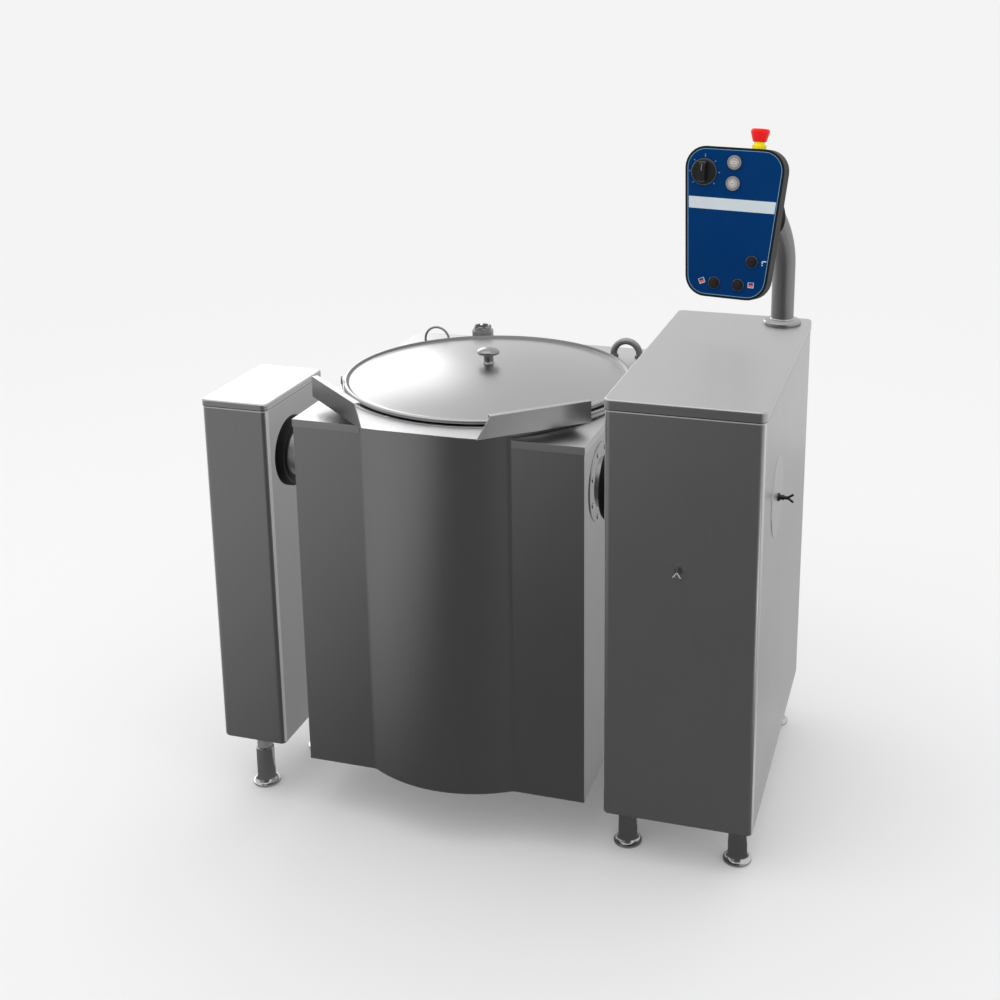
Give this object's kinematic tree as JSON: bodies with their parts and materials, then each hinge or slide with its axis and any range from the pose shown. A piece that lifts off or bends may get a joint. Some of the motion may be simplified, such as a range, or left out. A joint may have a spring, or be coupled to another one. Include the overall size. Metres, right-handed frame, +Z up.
{
  "type": "tilting cooking kettle",
  "caption": "Jacketed cooking kettle in a sheet steel casing that tilts on trunnions between two pillars, with a lift-off lid and a control panel on a bent post.",
  "frame": {"origin": "centre of the bounding box's base, on the floor between the feet", "axes": "+Z up, -Y to the front where the kettle pours, +X to the wide pillar"},
  "size_m": [1.1794, 0.77, 1.4121],
  "materials": {
    "pillar_steel": "fine brushed stainless steel sheet",
    "cover_steel": "fine brushed stainless steel sheet",
    "frame_steel": "grey primer on steel plate",
    "bearing_iron": "cast housing, machined faces",
    "seal_rubber": "smooth black rubber",
    "polished_steel": "polished stainless steel",
    "motor_paint": "satin enamel",
    "gland_plastic": "moulded, matt",
    "panel_plastic": "moulded, satin",
    "panel_foil": "printed blue foil",
    "black_plastic": "moulded, satin",
    "grey_plastic": "moulded, satin",
    "yellow_plastic": "moulded, gloss",
    "red_plastic": "moulded, gloss",
    "casing_steel": "fine brushed stainless steel sheet",
    "vessel_steel": "ground stainless steel",
    "jacket_steel": "mill finish stainless steel",
    "mineral_wool": "pressed mineral wool mat",
    "heater_metal": "oxidised heater sheath",
    "gear_steel": "hobbed steel, oiled",
    "lid_steel": "spun stainless steel, satin"
  },
  "bodies": {
    "stand": {"right_housing": "pillar_steel", "right_cover": "cover_steel", "right_frame": "frame_steel", "right_bearing": "bearing_iron", "right_seal": "seal_rubber", "right_legs": "polished_steel", "foot_front_outer": "polished_steel", "foot_front_inner": "polished_steel", "foot_rear_outer": "polished_steel", "foot_rear_inner": "polished_steel", "left_housing": "pillar_steel", "left_cover": "cover_steel", "left_frame": "frame_steel", "left_bearing": "bearing_iron", "left_seal": "seal_rubber", "left_legs": "polished_steel", "foot_left_front": "polished_steel", "foot_left_rear": "polished_steel", "motor_bracket": "frame_steel", "gearmotor": "motor_paint", "cable_gland": "gland_plastic", "side_plate": "cover_steel", "side_hook": "polished_steel", "front_hook": "polished_steel", "post_flange": "cover_steel", "control_post": "polished_steel", "panel_housing": "panel_plastic", "panel_face": "panel_foil", "stop_collar": "yellow_plastic"},
    "kettle": {"casing": "casing_steel", "top_plate": "cover_steel", "bottom_pan": "casing_steel", "bowl": "vessel_steel", "steam_jacket": "jacket_steel", "insulation": "mineral_wool", "heating_elements": "heater_metal", "neck": "casing_steel", "rim": "vessel_steel", "spout_floor": "vessel_steel", "left_wing": "casing_steel", "right_wing": "casing_steel", "left_trunnion": "vessel_steel", "right_trunnion": "vessel_steel", "trunnion_flanges": "vessel_steel", "flange_screws": "polished_steel", "sector_gear": "gear_steel", "rear_hardware": "polished_steel", "filling_stub": "polished_steel", "stub_crown": "polished_steel"},
    "lid": {"lid_shell": "lid_steel", "lid_seal": "seal_rubber", "lid_knob": "polished_steel"},
    "drive_pinion": {"pinion": "gear_steel"},
    "heat_knob": {"heat_knob": "black_plastic"},
    "light_button": {"light_button": "grey_plastic"},
    "power_button": {"power_button": "grey_plastic"},
    "water_button": {"water_button": "black_plastic"},
    "tilt_down_button": {"tilt_down_button": "black_plastic"},
    "tilt_up_button": {"tilt_up_button": "black_plastic"},
    "stop_button": {"stop_button": "red_plastic"}
  },
  "joints": [
    {"name": "tilt", "type": "hinge", "parent": "stand", "child": "kettle", "pos_m": [-0.08125, -0.1985, 0.771], "axis": [1, 0, 0], "range_deg": [0, 95]},
    {"name": "pinion_spin", "type": "hinge", "parent": "stand", "child": "drive_pinion", "pos_m": [-0.08125, -0.0054, 0.74386], "axis": [1, 0, 0], "range_deg": [-320, 0]},
    {"name": "lid_lift", "type": "slide", "parent": "kettle", "child": "lid", "axis": [0, 0, 1], "range_m": [0, 0.15]},
    {"name": "heat_knob_turn", "type": "hinge", "parent": "stand", "child": "heat_knob", "pos_m": [0.32689, 0.26898, 1.31567], "axis": [0.1613, 0.9742, -0.1582], "range_deg": [0, 270]},
    {"name": "stop_press", "type": "slide", "parent": "stand", "child": "stop_button", "axis": [-0.0258, -0.156, -0.9874], "range_m": [0, 0.004]},
    {"name": "light_press", "type": "slide", "parent": "stand", "child": "light_button", "axis": [0.1613, 0.9742, -0.1582], "range_m": [0, 0.0015], "stiffness_N_per_m": 700, "springref_m": -0.001},
    {"name": "power_press", "type": "slide", "parent": "stand", "child": "power_button", "axis": [0.1613, 0.9742, -0.1582], "range_m": [0, 0.0015], "stiffness_N_per_m": 700, "springref_m": -0.001},
    {"name": "water_press", "type": "slide", "parent": "stand", "child": "water_button", "axis": [0.1613, 0.9742, -0.1582], "range_m": [0, 0.0015], "stiffness_N_per_m": 700, "springref_m": -0.001},
    {"name": "tilt_down_press", "type": "slide", "parent": "stand", "child": "tilt_down_button", "axis": [0.1613, 0.9742, -0.1582], "range_m": [0, 0.0015], "stiffness_N_per_m": 700, "springref_m": -0.001},
    {"name": "tilt_up_press", "type": "slide", "parent": "stand", "child": "tilt_up_button", "axis": [0.1613, 0.9742, -0.1582], "range_m": [0, 0.0015], "stiffness_N_per_m": 700, "springref_m": -0.001}
  ],
  "couplings": [
    {"joint": "pinion_spin", "follows": "tilt", "ratio": -3.3333}
  ]
}
